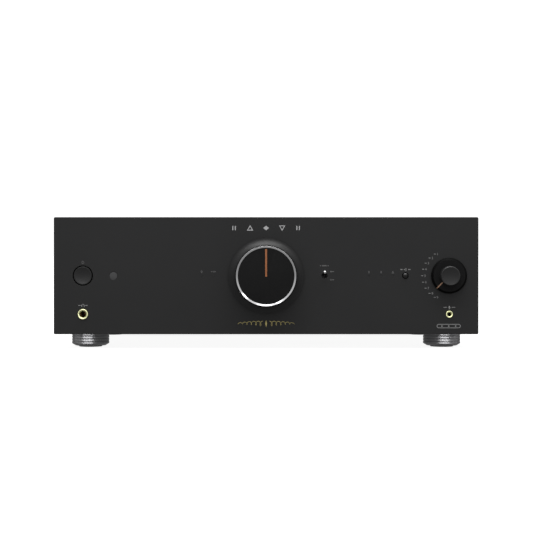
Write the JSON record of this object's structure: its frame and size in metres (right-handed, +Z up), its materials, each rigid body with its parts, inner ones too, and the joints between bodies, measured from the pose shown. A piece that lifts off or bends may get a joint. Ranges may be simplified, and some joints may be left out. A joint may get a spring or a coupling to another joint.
{
  "type": "integrated amplifier",
  "caption": "Full-width integrated stereo amplifier with a black panel, a large central volume knob, input selector, toggle, buttons and turned feet.",
  "frame": {"origin": "centre of the footprint, on the surface that the feet stand on", "axes": "+X to the right seen from the front, -Y out of the front panel, +Z up"},
  "size_m": [0.435, 0.362, 0.135],
  "materials": {
    "front_panel": "fine satin black anodising",
    "case_paint": "fine textured black powder coat",
    "plated_steel": "zinc plated",
    "screw": "black zinc",
    "foot_metal": "turned, satin",
    "foot_rubber": "matt",
    "pot_metal": "plated, satin",
    "switch_plastic": "moulded, matt",
    "brass": "gold plated, polished",
    "smoked_window": "smoked, smooth",
    "gold": "pale gold plate, polished",
    "circuit_board": "solder mask",
    "transformer_wrap": "polyester tape over windings",
    "black_anodised": "black anodised extrusion",
    "capacitor_sleeve": "shrink sleeve",
    "cable_grey": "flat cable",
    "white_plastic": "moulded",
    "red_plastic": "moulded, tinted",
    "black_plastic": "moulded, tinted",
    "nickel": "nickel plated",
    "washer_brass": "gold plated",
    "knob_black": "turned, satin black anodising",
    "polished_ring": "diamond cut, polished",
    "knob_face": "fine spun black anodising",
    "copper_line": "copper-orange inlay",
    "selector_black": "turned, satin black anodising",
    "button_black": "dished, satin black anodising",
    "gloss_black": "domed, glossy",
    "toggle_chrome": "polished"
  },
  "bodies": {
    "chassis": {"front_panel": "front_panel", "top_cover": "case_paint", "rear_panel": "case_paint", "bottom_chassis": "plated_steel", "front_bracket": "plated_steel", "case_screws": "screw", "feet": "foot_metal", "foot_pads": "foot_rubber", "volume_pot": "pot_metal", "transformer_clamp": "pot_metal", "ethernet_socket": "pot_metal", "selector_switch": "switch_plastic", "push_switches": "switch_plastic", "toggle_switch": "switch_plastic", "jack_bodies": "switch_plastic", "rca_housings": "switch_plastic", "ac_inlet": "switch_plastic", "speaker_terminal_base": "switch_plastic", "optical_socket": "switch_plastic", "output_transistors": "switch_plastic", "shaft_nuts": "brass", "speaker_posts": "brass", "ir_window": "smoked_window", "indicator_lights": "smoked_window", "headphone_jack_ring": "gold", "mic_jack_ring": "gold", "rca_collars": "gold", "front_control_board": "circuit_board", "amplifier_board": "circuit_board", "power_supply_board": "circuit_board", "input_board": "circuit_board", "toroidal_transformer": "transformer_wrap", "heatsink": "black_anodised", "filter_capacitors": "capacitor_sleeve", "ribbon_cable": "cable_grey", "rca_insulators_white": "white_plastic", "rca_insulators_red": "red_plastic", "ground_post": "nickel"},
    "volume_knob": {"volume_knob": "knob_black", "volume_knob_ring": "polished_ring", "volume_knob_face": "knob_face", "volume_pointer": "copper_line", "volume_shaft": "pot_metal"},
    "selector": {"selector_skirt": "selector_black", "selector_grip": "selector_black", "selector_pointer": "copper_line"},
    "power_button": {"power_button": "button_black"},
    "push_button": {"push_button": "gloss_black"},
    "toggle_lever": {"toggle_lever": "toggle_chrome"},
    "terminal_washer_1": {"terminal_washer_1": "washer_brass"},
    "terminal_washer_2": {"terminal_washer_2": "washer_brass"},
    "terminal_washer_3": {"terminal_washer_3": "washer_brass"},
    "terminal_washer_4": {"terminal_washer_4": "washer_brass"},
    "terminal_cap_1": {"terminal_cap_1": "red_plastic"},
    "terminal_cap_2": {"terminal_cap_2": "black_plastic"},
    "terminal_cap_3": {"terminal_cap_3": "red_plastic"},
    "terminal_cap_4": {"terminal_cap_4": "black_plastic"},
    "ground_washer": {"ground_washer": "nickel"},
    "ground_cap": {"ground_cap": "nickel"},
    "optical_flap": {"optical_flap": "switch_plastic"}
  },
  "joints": [
    {"name": "volume_turn", "type": "hinge", "parent": "chassis", "child": "volume_knob", "pos_m": [0, -0.155, 0.075], "axis": [0, 1, 0], "range_deg": [-150, 150]},
    {"name": "selector_turn", "type": "hinge", "parent": "chassis", "child": "selector", "pos_m": [0.1872, -0.155, 0.075], "axis": [0, 1, 0], "range_deg": [-15, 105]},
    {"name": "power_press", "type": "slide", "parent": "chassis", "child": "power_button", "axis": [0, 1, 0], "range_m": [0, 0.0018], "stiffness_N_per_m": 900},
    {"name": "push_button_press", "type": "slide", "parent": "chassis", "child": "push_button", "axis": [0, 1, 0], "range_m": [0, 0.001], "stiffness_N_per_m": 900},
    {"name": "toggle_flip", "type": "hinge", "parent": "chassis", "child": "toggle_lever", "pos_m": [0.0598, -0.149, 0.075], "axis": [1, 0, 0], "range_deg": [0, 26]},
    {"name": "terminal_1_unscrew", "type": "slide", "parent": "chassis", "child": "terminal_washer_1", "axis": [0, 1, 0], "range_m": [0, 0.0045]},
    {"name": "terminal_cap_1_turn", "type": "hinge", "parent": "terminal_washer_1", "child": "terminal_cap_1", "pos_m": [-0.044, 0.155, 0.048], "axis": [0, 1, 0], "range_deg": [0, 1080]},
    {"name": "terminal_2_unscrew", "type": "slide", "parent": "chassis", "child": "terminal_washer_2", "axis": [0, 1, 0], "range_m": [0, 0.0045]},
    {"name": "terminal_cap_2_turn", "type": "hinge", "parent": "terminal_washer_2", "child": "terminal_cap_2", "pos_m": [-0.063, 0.155, 0.048], "axis": [0, 1, 0], "range_deg": [0, 1080]},
    {"name": "terminal_3_unscrew", "type": "slide", "parent": "chassis", "child": "terminal_washer_3", "axis": [0, 1, 0], "range_m": [0, 0.0045]},
    {"name": "terminal_cap_3_turn", "type": "hinge", "parent": "terminal_washer_3", "child": "terminal_cap_3", "pos_m": [-0.101, 0.155, 0.048], "axis": [0, 1, 0], "range_deg": [0, 1080]},
    {"name": "terminal_4_unscrew", "type": "slide", "parent": "chassis", "child": "terminal_washer_4", "axis": [0, 1, 0], "range_m": [0, 0.0045]},
    {"name": "terminal_cap_4_turn", "type": "hinge", "parent": "terminal_washer_4", "child": "terminal_cap_4", "pos_m": [-0.12, 0.155, 0.048], "axis": [0, 1, 0], "range_deg": [0, 1080]},
    {"name": "ground_unscrew", "type": "slide", "parent": "chassis", "child": "ground_washer", "axis": [0, 1, 0], "range_m": [0, 0.002]},
    {"name": "ground_cap_turn", "type": "hinge", "parent": "ground_washer", "child": "ground_cap", "pos_m": [0.204, 0.155, 0.044], "axis": [0, 1, 0], "range_deg": [0, 1080]},
    {"name": "optical_flap_open", "type": "hinge", "parent": "chassis", "child": "optical_flap", "pos_m": [0.088, 0.15, 0.0895], "axis": [-1, 0, 0], "range_deg": [0, 80], "stiffness_Nm_per_rad": 0.0004}
  ],
  "couplings": [
    {"joint": "terminal_cap_1_turn", "follows": "terminal_1_unscrew", "rad_per_m": 4188.4},
    {"joint": "terminal_cap_2_turn", "follows": "terminal_2_unscrew", "rad_per_m": 4188.4},
    {"joint": "terminal_cap_3_turn", "follows": "terminal_3_unscrew", "rad_per_m": 4188.4},
    {"joint": "terminal_cap_4_turn", "follows": "terminal_4_unscrew", "rad_per_m": 4188.4},
    {"joint": "ground_cap_turn", "follows": "ground_unscrew", "rad_per_m": 9423.8}
  ]
}
